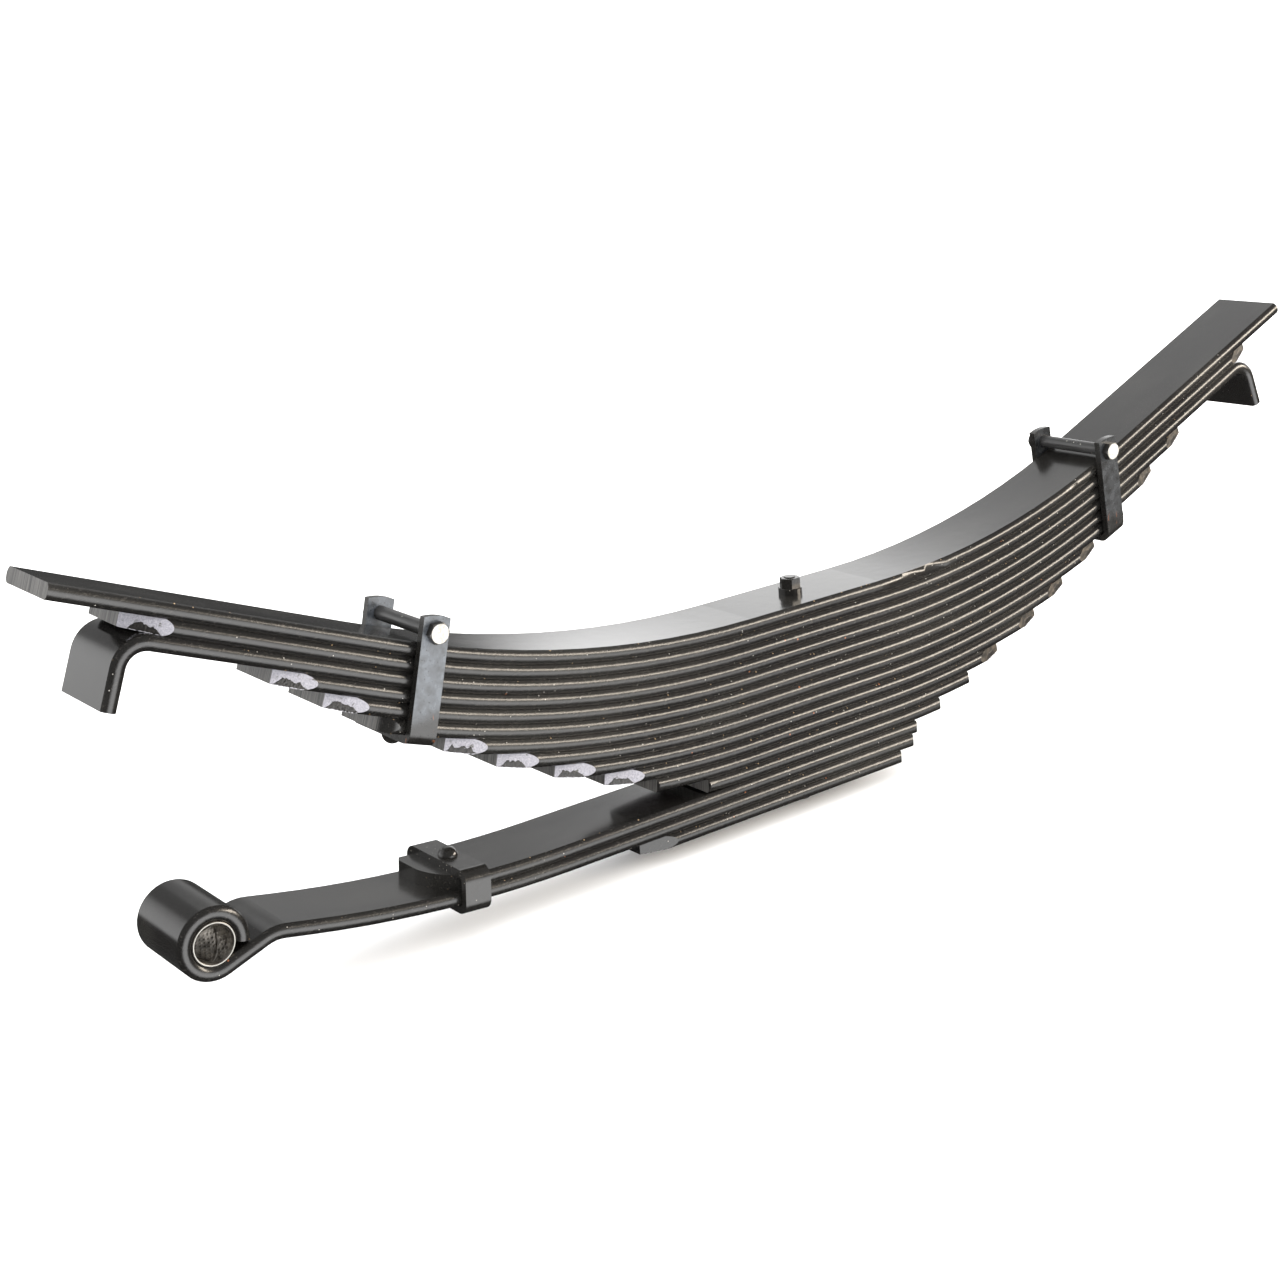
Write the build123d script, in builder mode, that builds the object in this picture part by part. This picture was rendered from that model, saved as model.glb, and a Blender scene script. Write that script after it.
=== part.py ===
"""Truck rear leaf spring: fifteen leaves with two rebound clips and an eyed radius leaf.

Frame: X along the spring with the eye at -X, Y across the leaves, Z up.
The origin is on the axle seat, under the pack, on the axis of the centre bolt.
A station is a distance along the top face of the main leaf from the centre bolt,
and a depth is measured square to that face, down into the pack.
"""

import os
from math import asin, atan2, cos, degrees, radians, sin, sqrt, tan

from build123d import *

# ---------------------------------------------------------------- leaf steel
leaf_width = 76.2
leaf_gauge = 12.2
edge_bulge = 3.5  # the rolled side edges stand this far past the flat faces

# ---------------------------------------------------------------- arch of the pack
seat_half = 76.9  # flat stretch each side of the centre bolt
left_arch_radius = 957.3  # top face of the main leaf
left_arch_turn = 21.6
right_arch_radius = 840.8
right_arch_turn = 22.73

# ---------------------------------------------------------------- leaf ends
trim_length = 34.0  # sheared corner, along the leaf
trim_width = 11.0  # sheared corner, across the leaf
uneven_trim_front = 20.0
uneven_trim_back = 7.0
small_corner = 4.0
corner_ease = 0.2  # a rounded corner's circle passes this far outside the end and the side
clip_leaf_corner = 18.0
overload_front_share = 0.6  # rounded corner of the helper leaf, as a share of the leaf's width
overload_back_share = 0.18

SQUARE = ("square", 0.0, 0.0)
TRIMMED = ("trimmed", trim_width, trim_width)
UNEVEN = ("trimmed", uneven_trim_front, uneven_trim_back)
SMALL_ROUND = ("rounded", small_corner, small_corner)
CLIP_ROUND = ("rounded", clip_leaf_corner, clip_leaf_corner)
OVERLOAD_ROUND = ("rounded", overload_front_share * leaf_width, overload_back_share * leaf_width)

# name, station of the left end, station of the right end, left end, right end
ARCHED_LEAVES = [
    ("leaf_01_main", -717.0, 690.0, SQUARE, SQUARE),
    ("leaf_02_second", -654.3, 637.1, UNEVEN, TRIMMED),
    ("leaf_03_hooked", -660.5, 631.5, SQUARE, SQUARE),
    ("leaf_04_graded", -530.6, 512.6, TRIMMED, TRIMMED),
    ("leaf_05_graded", -482.4, 459.5, TRIMMED, TRIMMED),
    ("leaf_06_clip", -432.5, 405.3, CLIP_ROUND, CLIP_ROUND),
    ("leaf_07_graded", -371.4, 360.0, TRIMMED, TRIMMED),
    ("leaf_08_graded", -323.4, 311.1, TRIMMED, TRIMMED),
    ("leaf_09_graded", -269.8, 269.9, TRIMMED, TRIMMED),
    ("leaf_10_graded", -222.7, 219.3, TRIMMED, TRIMMED),
    ("leaf_11_short", -179.1, 174.6, SMALL_ROUND, SMALL_ROUND),
    ("leaf_12_short", -129.2, 139.4, SMALL_ROUND, SMALL_ROUND),
]
hook_bend = 21.0  # mid-plane radius of the turned-down ends of leaf 3
hook_leg = 32.0  # straight end below the bend

# ---------------------------------------------------------------- radius leaf and its helper
radius_flat_end = 286.8  # the pair runs flat this far to the left
radius_rise = 1178.0  # mid-plane radius of the eyed leaf beyond that
radius_turn = 11.8
crest_run = 31.9  # from the end of the rise to the corner of the crest
crest_bend = 32.0
eye_run = 50.1  # middle of the eye, out from the corner of the crest
eye_rise = 7.6  # and above it
eye_bore = 34.9
eye_tip_angle = -12.0  # where the wrapped end stops, from level on the right
helper_left = 413.9
helper_right = 117.9
eyed_leaf_right = 112.8
bottom_leaf_left = 209.0
bottom_leaf_right = 96.5

# ---------------------------------------------------------------- eye bush
bush_bore = 31.75
bush_recess = 1.6
bush_chamfer = 0.6

# ---------------------------------------------------------------- centre bolt
centre_bolt_size = 11.1
centre_hole_gap = 0.4
centre_head_size = 19.0
centre_head_height = 14.5
washer_size = 21.4
washer_thickness = 5.8
washer_chamfer = 0.6
centre_nut_flats = 16.8
centre_nut_height = 9.1
centre_bolt_proud = 0.8  # the bolt end stands this far out of the nut

# ---------------------------------------------------------------- rebound clips
strap_thickness = 6.35
strap_width = 24.0
strap_side_gap = 0.9  # between a leg and the side of the leaves
strap_inner_bend = 4.0
ear_height = 24.0  # above the main leaf
ear_crown = 1.6
left_clip_station = -401.5
left_clip_lean = 14.8  # of the legs from upright, towards the centre of the spring
right_clip_station = 374.1
right_clip_lean = 8.2
clip_bolt_size = 9.5
clip_bolt_drop = 13.0  # bolt axis below the top of the ears
clip_hole_gap = 0.3
clip_head_flats = 15.9
clip_head_height = 6.4
clip_nut_height = 6.5
clip_bolt_proud = 1.5
bolt_chamfer = 1.0
hex_face_share = 0.97  # chamfer circle on the face of a head or nut, as a share of its flats
tube_size = 12.0
tube_running_gap = 0.06  # radial, on the bolt
tube_end_gap = 0.2

# ---------------------------------------------------------------- rivets
rivet_size = 9.5
rivet_head_size = 17.0
rivet_head_height = 7.5
rivet_gap = 0.05
countersink_size = 15.0
countersink_depth = 3.5
rivet_inset = 0.1  # the flush end lies this far below the face of the leaf

# ---------------------------------------------------------------- radius clip
band_station = 385.0
band_gap = 0.15  # between the band and the two leaves

# ---------------------------------------------------------------- worked out
leaf_count = len(ARCHED_LEAVES) + 3
clipped_leaves = [row[0] for row in ARCHED_LEAVES].index("leaf_06_clip") + 1
stack_height = leaf_count * leaf_gauge
half_width = leaf_width / 2
flat_half = half_width - edge_bulge
leg_inner = half_width + strap_side_gap
leg_outer = leg_inner + strap_thickness
eye_line = eye_bore / 2 + leaf_gauge / 2
reach = 2 * leaf_width  # longer than anything it cuts


def arch_turn(station):
    """Slope of the pack at a station, in radians."""
    radius, turn = (left_arch_radius, left_arch_turn)
    if station > 0:
        radius, turn = (right_arch_radius, right_arch_turn)
    bent = (abs(station) - seat_half) / radius
    return min(max(bent, 0.0), radians(turn))


def arch_point(station, depth):
    """A point of the pack in the plane Y = 0."""
    radius, turn = (left_arch_radius, left_arch_turn)
    if station > 0:
        radius, turn = (right_arch_radius, right_arch_turn)
    run = abs(station)
    slope = arch_turn(station)
    straight = max(run - seat_half - radius * radians(turn), 0.0)
    x = min(run, seat_half) + (radius + depth) * sin(slope) + straight * cos(slope)
    z = stack_height + radius - (radius + depth) * cos(slope) + straight * sin(slope)
    return Vector(x if station > 0 else -x, 0, z)


def arch_plane(station, depth):
    """Plane on the pack, with its x outwards along the leaf and its z up square to the leaf."""
    side = 1 if station > 0 else -1
    slope = arch_turn(station)
    outwards = (side * cos(slope), 0, sin(slope))
    square = (-side * sin(slope), 0, cos(slope))
    return Plane(origin=arch_point(station, depth), x_dir=outwards, z_dir=square)


def arch_line(depth, left, right):
    """Lines and arcs of a leaf's mid-plane between two stations, drawn in the open BuildLine."""
    left_bend = -seat_half - left_arch_radius * radians(left_arch_turn)
    right_bend = seat_half + right_arch_radius * radians(right_arch_turn)
    bends = [left_bend, -seat_half, seat_half, right_bend]
    stops = [left] + [b for b in bends if left < b < right] + [right]
    for start, stop in zip(stops, stops[1:]):
        middle = (start + stop) / 2
        if left_bend < middle < -seat_half or seat_half < middle < right_bend:
            ThreePointArc(arch_point(start, depth), arch_point(middle, depth), arch_point(stop, depth))
        else:
            Line(arch_point(start, depth), arch_point(stop, depth))


def leaf_section(start):
    """Rolled spring flat: two flat faces and two bulged side edges."""
    with BuildSketch(Plane(origin=start @ 0, x_dir=(0, 1, 0), z_dir=start % 0)) as section:
        with BuildLine():
            Line((-flat_half, leaf_gauge / 2), (flat_half, leaf_gauge / 2))
            ThreePointArc((flat_half, leaf_gauge / 2), (half_width, 0), (flat_half, -leaf_gauge / 2))
            Line((flat_half, -leaf_gauge / 2), (-flat_half, -leaf_gauge / 2))
            ThreePointArc((-flat_half, -leaf_gauge / 2), (-half_width, 0), (-flat_half, leaf_gauge / 2))
        make_face()
    return section.sketch


def shape_end(plane, style):
    """Cuts the corners off the open leaf, whose end is at the plane's origin."""
    kind, front, back = style
    with BuildSketch(plane) as cutter:
        for side, size in ((-plane.y_dir.Y, front), (plane.y_dir.Y, back)):
            if kind == "trimmed":
                end = Vector(0, side * (half_width - size))
                edge = Vector(-trim_length, side * half_width)
                past = (end - edge) * 0.4
                outside = Vector(0, side * leaf_width)
                with BuildLine():
                    Polyline(end + past, edge - past, edge - past + outside, end + past + outside, close=True)
                make_face()
            if kind == "rounded":
                centre = Vector(corner_ease - size, side * (half_width + corner_ease - size))
                with Locations(centre + Vector(0.75 * size, 0.75 * side * size)):
                    Rectangle(1.5 * size, 1.5 * size)
                with Locations(centre):
                    Circle(size, mode=Mode.SUBTRACT)
    extrude(cutter.sketch, amount=1.5 * leaf_gauge, both=True, mode=Mode.SUBTRACT)


def centre_hole():
    """Cuts the centre bolt's hole through the open leaf."""
    with BuildSketch(Plane.XY.offset(-leaf_gauge)) as hole:
        Circle(centre_bolt_size / 2 + centre_hole_gap)
    extrude(hole.sketch, amount=stack_height + 2 * leaf_gauge, mode=Mode.SUBTRACT)


def rivet_hole(plane, countersunk):
    """Cuts a rivet's hole square to the plane, with its countersink at the plane's origin."""
    with BuildSketch(plane) as hole:
        Circle(rivet_size / 2 + rivet_gap)
    extrude(hole.sketch, amount=leaf_gauge + 2 * strap_thickness, both=True, mode=Mode.SUBTRACT)
    if countersunk:
        with BuildSketch(plane) as wide:
            Circle(countersink_size / 2 + rivet_gap)
        with BuildSketch(plane.offset(-countersink_depth)) as narrow:
            Circle(rivet_size / 2 + rivet_gap)
        loft([wide.sketch, narrow.sketch], mode=Mode.SUBTRACT)


def hex_prism(plane, flats, height):
    """Starts a part with a hexagon standing on the plane, its far corners chamfered at 30 degrees."""
    with BuildSketch(plane) as hexagon:
        RegularPolygon(flats / 2, 6, major_radius=False)
    extrude(hexagon.sketch, amount=height)
    face_radius = flats / 2 * hex_face_share
    with BuildSketch(plane) as wide:
        Circle(face_radius + height * sqrt(3))
    with BuildSketch(plane.offset(height)) as narrow:
        Circle(face_radius)
    loft([wide.sketch, narrow.sketch], mode=Mode.INTERSECT)


def save(builder, name):
    """Labels a finished piece and writes it."""
    builder.part.label = name
    export_step(builder.part, f"parts/{name}.step")


os.makedirs("parts", exist_ok=True)

# ---------------------------------------------------------------- arched leaves
rivet_spots = {"leaf_06_clip": (left_clip_station, right_clip_station)}


def hook_points(shoulder):
    """Mid-plane of a turned-down end: shoulder, middle and foot of the bend, and the tip."""
    along = hook_bend * sin(radians(45))
    down = hook_bend * (1 - cos(radians(45)))
    spots = [(0, 0), (along, -down), (hook_bend, -hook_bend), (hook_bend, -hook_bend - hook_leg)]
    return [shoulder.from_local_coords((x, 0, z)) for x, z in spots]


for index, (leaf_name, left, right, left_end, right_end) in enumerate(ARCHED_LEAVES):
    middle_depth = (index + 0.5) * leaf_gauge
    hooked = leaf_name == "leaf_03_hooked"
    bend_room = hook_bend + leaf_gauge / 2 if hooked else 0
    with BuildLine() as leaf_line:
        if hooked:
            spots = hook_points(arch_plane(left + bend_room, middle_depth))
            Line(spots[3], spots[2])
            ThreePointArc(spots[2], spots[1], spots[0])
        arch_line(middle_depth, left + bend_room, right - bend_room)
        if hooked:
            spots = hook_points(arch_plane(right - bend_room, middle_depth))
            ThreePointArc(spots[0], spots[1], spots[2])
            Line(spots[2], spots[3])
    with BuildPart() as leaf:
        sweep(leaf_section(leaf_line.wire()), path=leaf_line.wire())
        centre_hole()
        for station, style in ((left, left_end), (right, right_end)):
            if style != SQUARE:
                shape_end(arch_plane(station, middle_depth), style)
        for station in rivet_spots.get(leaf_name, ()):
            rivet_hole(arch_plane(station, index * leaf_gauge), countersunk=True)
    save(leaf, leaf_name)


# ---------------------------------------------------------------- radius leaf and its helper
def rise_point(turn, lift):
    """A point on the rise of the radius leaf, turned by an angle, lifted square to the leaf."""
    radius = radius_rise - lift
    height = 1.5 * leaf_gauge + radius_rise - radius * cos(radians(turn))
    return Vector(-radius_flat_end - radius * sin(radians(turn)), 0, height)


def rise_plane(turn, lift):
    """Plane on the rise, with its x outwards along the leaf and its z up square to the leaf."""
    outwards = (-cos(radians(turn)), 0, sin(radians(turn)))
    square = (sin(radians(turn)), 0, cos(radians(turn)))
    return Plane(origin=rise_point(turn, lift), x_dir=outwards, z_dir=square)


def eye_point(angle):
    """A point on the mid-plane of the wrapped eye."""
    return eye_centre + Vector(eye_line * cos(radians(angle)), 0, eye_line * sin(radians(angle)))


rise_end = rise_point(radius_turn, 0)
rise_way = Vector(-cos(radians(radius_turn)), 0, sin(radians(radius_turn)))
crest = rise_end + rise_way * crest_run
to_eye = Vector(-eye_run, 0, eye_rise)
eye_centre = crest + to_eye
fall_turn = degrees(asin(eye_line / to_eye.length) - atan2(to_eye.Z, -to_eye.X))
fall_way = Vector(-cos(radians(fall_turn)), 0, -sin(radians(fall_turn)))
crest_half = radians((radius_turn + fall_turn) / 2)
crest_lean = radians((radius_turn - fall_turn) / 2)
crest_up = Vector(sin(crest_lean), 0, cos(crest_lean))
crest_right = crest - rise_way * crest_bend * tan(crest_half)
crest_left = crest + fall_way * crest_bend * tan(crest_half)
crest_top = crest - crest_up * crest_bend * (1 / cos(crest_half) - 1)
wrap_start = 270 + fall_turn
wrap_middle = (eye_tip_angle + wrap_start) / 2

with BuildLine() as eyed_line:
    ThreePointArc(eye_point(eye_tip_angle), eye_point(wrap_middle), eye_point(wrap_start))
    Line(eye_point(wrap_start), crest_left)
    ThreePointArc(crest_left, crest_top, crest_right)
    Line(crest_right, rise_end)
    ThreePointArc(rise_end, rise_point(radius_turn / 2, 0), rise_point(0, 0))
    Line(rise_point(0, 0), (eyed_leaf_right, 0, 1.5 * leaf_gauge))

with BuildPart() as eyed_leaf:
    sweep(leaf_section(eyed_line.wire()), path=eyed_line.wire())
    centre_hole()
    right_corner = Plane(origin=(eyed_leaf_right, 0, 1.5 * leaf_gauge))
    shape_end(right_corner, SMALL_ROUND)
save(eyed_leaf, "leaf_14_radius_eyed")

helper_turn = degrees(asin((helper_left - radius_flat_end) / (radius_rise - leaf_gauge)))
band_turn = degrees(asin((band_station - radius_flat_end) / radius_rise))
band_top = rise_plane(band_turn, 1.5 * leaf_gauge)

with BuildLine() as helper_line:
    ThreePointArc(
        rise_point(helper_turn, leaf_gauge),
        rise_point(helper_turn / 2, leaf_gauge),
        rise_point(0, leaf_gauge),
    )
    Line(rise_point(0, leaf_gauge), (helper_right, 0, 2.5 * leaf_gauge))

with BuildPart() as helper_leaf:
    sweep(leaf_section(helper_line.wire()), path=helper_line.wire())
    centre_hole()
    shape_end(rise_plane(helper_turn, leaf_gauge), OVERLOAD_ROUND)
    shape_end(Plane(origin=(helper_right, 0, 2.5 * leaf_gauge)), SMALL_ROUND)
    rivet_hole(Plane(band_top.offset(-leaf_gauge).origin, band_top.x_dir, -band_top.z_dir), countersunk=True)
save(helper_leaf, "leaf_13_radius_helper")

with BuildLine() as bottom_line:
    Line((-bottom_leaf_left, 0, leaf_gauge / 2), (bottom_leaf_right, 0, leaf_gauge / 2))

with BuildPart() as bottom_leaf:
    sweep(leaf_section(bottom_line.wire()), path=bottom_line.wire())
    centre_hole()
    bottom_left_end = Plane(origin=(-bottom_leaf_left, 0, leaf_gauge / 2), x_dir=(-1, 0, 0), z_dir=(0, 0, 1))
    shape_end(bottom_left_end, TRIMMED)
    bottom_right_end = Plane(origin=(bottom_leaf_right, 0, leaf_gauge / 2))
    shape_end(bottom_right_end, SMALL_ROUND)
save(bottom_leaf, "leaf_15_bottom")

# ---------------------------------------------------------------- eye bush
with BuildPart() as bush:
    with BuildSketch(Plane.XZ.offset(half_width - bush_recess)):
        with Locations((eye_centre.X, eye_centre.Z)):
            Circle(eye_bore / 2)
            Circle(bush_bore / 2, mode=Mode.SUBTRACT)
    extrude(amount=-leaf_width + 2 * bush_recess)
    bore_rims = bush.edges().filter_by(GeomType.CIRCLE).sort_by(SortBy.RADIUS)[:2]
    chamfer(bore_rims, bush_chamfer)
save(bush, "eye_bushing")

# ---------------------------------------------------------------- centre bolt, washer and nut
nut_base = stack_height + washer_thickness
nut_top = nut_base + centre_nut_height

with BuildPart() as centre_bolt:
    with BuildSketch(Plane.XY.offset(-centre_head_height)):
        Circle(centre_head_size / 2)
    extrude(amount=centre_head_height)
    chamfer(centre_bolt.edges().group_by(Axis.Z)[0], bolt_chamfer)
    with BuildSketch():
        Circle(centre_bolt_size / 2)
    extrude(amount=nut_top + centre_bolt_proud)
    chamfer(centre_bolt.edges().group_by(Axis.Z)[-1], centre_bolt_proud)
save(centre_bolt, "centre_bolt")

with BuildPart() as centre_washer:
    with BuildSketch(Plane.XY.offset(stack_height)):
        Circle(washer_size / 2)
        Circle(centre_bolt_size / 2 + centre_hole_gap, mode=Mode.SUBTRACT)
    extrude(amount=washer_thickness)
    chamfer(centre_washer.edges().group_by(Axis.Z)[-1].sort_by(SortBy.RADIUS)[-1], washer_chamfer)
save(centre_washer, "centre_washer")

with BuildPart() as centre_nut:
    hex_prism(Plane.XY.offset(nut_base), centre_nut_flats, centre_nut_height)
    with BuildSketch(Plane.XY.offset(nut_base)):
        Circle(centre_bolt_size / 2)
    extrude(amount=centre_nut_height, mode=Mode.SUBTRACT)
save(centre_nut, "centre_nut")


# ---------------------------------------------------------------- rivets
def rivet(strap_face, flush_face):
    """Dome head standing off strap_face, shank through to a flush countersunk end in the leaf."""
    dome_radius = (rivet_head_size**2 / 4 + rivet_head_height**2) / (2 * rivet_head_height)
    length = abs((flush_face.origin - strap_face.origin).dot(strap_face.z_dir)) - rivet_inset
    flush = strap_face.offset(-length)
    with BuildPart() as piece:
        with BuildSketch(Plane(origin=strap_face.origin, x_dir=strap_face.x_dir, z_dir=strap_face.y_dir)):
            with BuildLine():
                Line((0, 0), (rivet_head_size / 2, 0))
                RadiusArc((rivet_head_size / 2, 0), (0, -rivet_head_height), dome_radius)
                Line((0, -rivet_head_height), (0, 0))
            make_face()
        revolve(axis=Axis(strap_face.origin, strap_face.z_dir))
        with BuildSketch(strap_face):
            Circle(rivet_size / 2)
        extrude(amount=-length)
        with BuildSketch(flush):
            Circle(countersink_size / 2 - rivet_inset)
        with BuildSketch(flush.offset(countersink_depth - rivet_inset)):
            Circle(rivet_size / 2)
        loft()
    return piece


# ---------------------------------------------------------------- rebound clips
def ring_section(plane, tall):
    """Flat bar bent round the leaves, seen along them, with its seat on the plane."""
    with BuildSketch(Plane(origin=plane.origin, x_dir=plane.y_dir, z_dir=plane.x_dir)) as section:
        with Locations((0, tall)):
            RectangleRounded(2 * leg_outer, 2 * (tall + strap_thickness), strap_inner_bend + strap_thickness)
            RectangleRounded(2 * leg_inner, 2 * tall, strap_inner_bend, mode=Mode.SUBTRACT)
    return section.sketch


def clip_parts(name, station, lean):
    """One rebound clip: strap, rivet, bolt, nut and spacer tube."""
    side = 1 if station > 0 else -1
    seat = arch_plane(station, clipped_leaves * leaf_gauge)
    upright = Vector(-side * sin(radians(lean)), 0, cos(radians(lean)))
    along = Vector(seat.x_dir) * side
    foot = Vector(seat.origin) - Vector(seat.z_dir) * strap_thickness
    leg_length = clipped_leaves * leaf_gauge + strap_thickness + ear_height
    crown = foot + upright * leg_length
    level = Vector(cos(radians(lean)), 0, side * sin(radians(lean)))
    bolt_at = crown - upright * clip_bolt_drop
    foot_half = strap_width / 2 / along.dot(level)

    with BuildPart() as strap:
        extrude(ring_section(seat, leg_length), amount=strap_width * 2, both=True)
        with BuildSketch(Plane.XZ):
            with BuildLine():
                corners = [
                    foot - along * foot_half - upright * strap_thickness,
                    foot + along * foot_half - upright * strap_thickness,
                    crown + level * strap_width / 2 - upright * ear_crown,
                    crown - level * strap_width / 2 - upright * ear_crown,
                ]
                flat = [(c.X, c.Z) for c in corners]
                Polyline(flat[3], flat[0], flat[1], flat[2])
                ThreePointArc(flat[2], (crown.X, crown.Z), flat[3])
            make_face()
        extrude(amount=reach, both=True, mode=Mode.INTERSECT)
        with BuildSketch(Plane.XZ):
            with Locations((bolt_at.X, bolt_at.Z)):
                Circle(clip_bolt_size / 2 + clip_hole_gap)
        extrude(amount=reach, both=True, mode=Mode.SUBTRACT)
        rivet_hole(seat, countersunk=False)
    save(strap, f"{name}_clip_strap")

    head_side = Plane(origin=(bolt_at.X, -leg_outer, bolt_at.Z), x_dir=(1, 0, 0), z_dir=(0, -1, 0))
    nut_side = Plane(origin=(bolt_at.X, leg_outer, bolt_at.Z), x_dir=(1, 0, 0), z_dir=(0, 1, 0))
    with BuildPart() as bolt:
        hex_prism(head_side, clip_head_flats, clip_head_height)
        with BuildSketch(head_side):
            Circle(clip_bolt_size / 2)
        extrude(amount=-2 * leg_outer - clip_nut_height - clip_bolt_proud)
        chamfer(bolt.edges().group_by(Axis.Y)[-1], bolt_chamfer)
    save(bolt, f"{name}_clip_bolt")

    with BuildPart() as nut:
        hex_prism(nut_side, clip_head_flats, clip_nut_height)
        with BuildSketch(nut_side):
            Circle(clip_bolt_size / 2)
        extrude(amount=clip_nut_height, mode=Mode.SUBTRACT)
    save(nut, f"{name}_clip_nut")

    with BuildPart() as tube:
        with BuildSketch(Plane.XZ):
            with Locations((bolt_at.X, bolt_at.Z)):
                Circle(tube_size / 2)
                Circle(clip_bolt_size / 2 + tube_running_gap, mode=Mode.SUBTRACT)
        extrude(amount=leg_inner - tube_end_gap, both=True)
    save(tube, f"{name}_clip_spacer_tube")

    under = Plane(origin=foot, x_dir=seat.x_dir, z_dir=-Vector(seat.z_dir))
    clip_leaf_top = arch_plane(station, (clipped_leaves - 1) * leaf_gauge)
    save(rivet(under, clip_leaf_top), f"{name}_clip_rivet")


clip_parts("left", left_clip_station, left_clip_lean)
clip_parts("right", right_clip_station, right_clip_lean)

# ---------------------------------------------------------------- radius clip
band_bore_height = 2 * leaf_gauge + 2 * band_gap

with BuildPart() as band:
    band_middle = rise_plane(band_turn, leaf_gauge / 2)
    with BuildSketch(Plane(origin=band_middle.origin, x_dir=band_middle.y_dir, z_dir=band_middle.x_dir)):
        outer_corner = strap_inner_bend + strap_thickness
        RectangleRounded(2 * leg_outer, band_bore_height + 2 * strap_thickness, outer_corner)
        RectangleRounded(2 * leg_inner, band_bore_height, strap_inner_bend, mode=Mode.SUBTRACT)
    extrude(amount=strap_width / 2, both=True)
    with BuildSketch(band_top):
        Circle(rivet_size / 2 + rivet_gap)
    extrude(amount=2 * strap_thickness, mode=Mode.SUBTRACT)
save(band, "radius_clip_band")

band_face = band_top.offset(band_gap + strap_thickness)
save(rivet(band_face, band_top.offset(-leaf_gauge)), "radius_clip_rivet")
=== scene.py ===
"""Finishes, worn details, studio and camera for a heavy truck's rear leaf spring."""

import random
from math import cos, pi, radians, sin, tau

import bmesh
import bpy
from bpy.props import FloatProperty, FloatVectorProperty, IntProperty, PointerProperty
from bpy.types import NodeSocket, Operator, Panel, PropertyGroup
from mathutils import Matrix, Vector, noise


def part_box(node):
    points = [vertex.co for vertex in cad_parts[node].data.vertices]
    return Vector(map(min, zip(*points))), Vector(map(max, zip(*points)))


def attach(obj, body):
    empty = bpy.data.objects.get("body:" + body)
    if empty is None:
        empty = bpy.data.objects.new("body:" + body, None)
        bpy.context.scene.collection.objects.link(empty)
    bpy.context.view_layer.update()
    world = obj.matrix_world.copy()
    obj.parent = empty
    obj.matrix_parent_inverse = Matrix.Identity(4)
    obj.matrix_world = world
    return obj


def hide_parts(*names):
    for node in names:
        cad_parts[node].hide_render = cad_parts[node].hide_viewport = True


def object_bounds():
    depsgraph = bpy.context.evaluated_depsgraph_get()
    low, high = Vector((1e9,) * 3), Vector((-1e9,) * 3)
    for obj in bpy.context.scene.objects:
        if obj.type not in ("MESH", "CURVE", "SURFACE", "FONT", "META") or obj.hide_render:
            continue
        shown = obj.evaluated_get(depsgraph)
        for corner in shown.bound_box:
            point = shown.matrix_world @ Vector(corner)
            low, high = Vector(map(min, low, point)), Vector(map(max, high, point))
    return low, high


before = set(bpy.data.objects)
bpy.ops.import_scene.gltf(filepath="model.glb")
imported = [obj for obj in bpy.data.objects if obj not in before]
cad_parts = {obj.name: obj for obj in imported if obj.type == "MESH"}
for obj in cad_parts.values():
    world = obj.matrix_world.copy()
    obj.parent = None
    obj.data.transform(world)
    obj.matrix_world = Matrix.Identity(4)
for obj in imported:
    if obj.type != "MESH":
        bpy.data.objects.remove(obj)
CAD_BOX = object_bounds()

bl_info = {
    "name": "Leaf Spring Finisher",
    "version": (1, 0, 0),
    "blender": (4, 5, 0),
    "location": "3D View > Sidebar > Leaf Spring",
    "description": "Paints a leaf spring, lines its eye bush, tears its cut ends and lights it",
    "category": "Object",
}

MM = 0.001
PACK = "leaf_pack"
TRIMMED_LEAVES = (
    "leaf_02_second",
    "leaf_04_graded",
    "leaf_05_graded",
    "leaf_07_graded",
    "leaf_08_graded",
    "leaf_09_graded",
    "leaf_10_graded",
)
ROUNDED_LEAVES = ("leaf_01_main", "leaf_06_clip", "leaf_11_short", "leaf_12_short")
BENT_LEAVES = ("leaf_03_hooked", "leaf_13_radius_helper", "leaf_14_radius_eyed", "leaf_15_bottom")


def linear(code):
    """An sRGB hex value such as 0x1F1F1E as a linear colour."""
    shares = [(code >> shift & 255) / 255 for shift in (16, 8, 0)]
    return [s / 12.92 if s <= 0.04045 else ((s + 0.055) / 1.055) ** 2.4 for s in shares]


# ---------------------------------------------------------------- what a user would change
class EnamelSettings(PropertyGroup):
    """Paint on the leaves and clips."""

    black: FloatVectorProperty(
        name="Enamel black",
        description="Colour of the chassis enamel",
        subtype="COLOR",
        default=linear(0x151413),
    )
    dusty: FloatVectorProperty(
        name="Dusty enamel",
        description="Colour where overspray has dried on the enamel",
        subtype="COLOR",
        default=linear(0x201F1D),
    )
    rust: FloatVectorProperty(
        name="Rust",
        description="Colour of rust in chips and rubbed spots",
        subtype="COLOR",
        default=linear(0x7A4A30),
    )
    # Pale lavender painted reflection on the sheared corners that face left.
    sheared: FloatVectorProperty(
        name="Sheared corner reflection",
        description="Colour of the painted reflection on the left-facing sheared corners",
        subtype="COLOR",
        default=linear(0x9F9EA6),
    )
    # Pale blue-grey on the clip straps: rubbed wear together with a painted reflection of the front light.
    strap_rub_and_sheen: FloatVectorProperty(
        name="Worn strap and sheen",
        description="Colour of the rubbed strap and its painted reflection",
        subtype="COLOR",
        default=linear(0x575C62),
    )
    peel: FloatProperty(
        name="Orange peel",
        description="Height of the enamel's peel",
        subtype="DISTANCE",
        unit="LENGTH",
        default=0.012 * MM,
        precision=6,
    )


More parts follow.
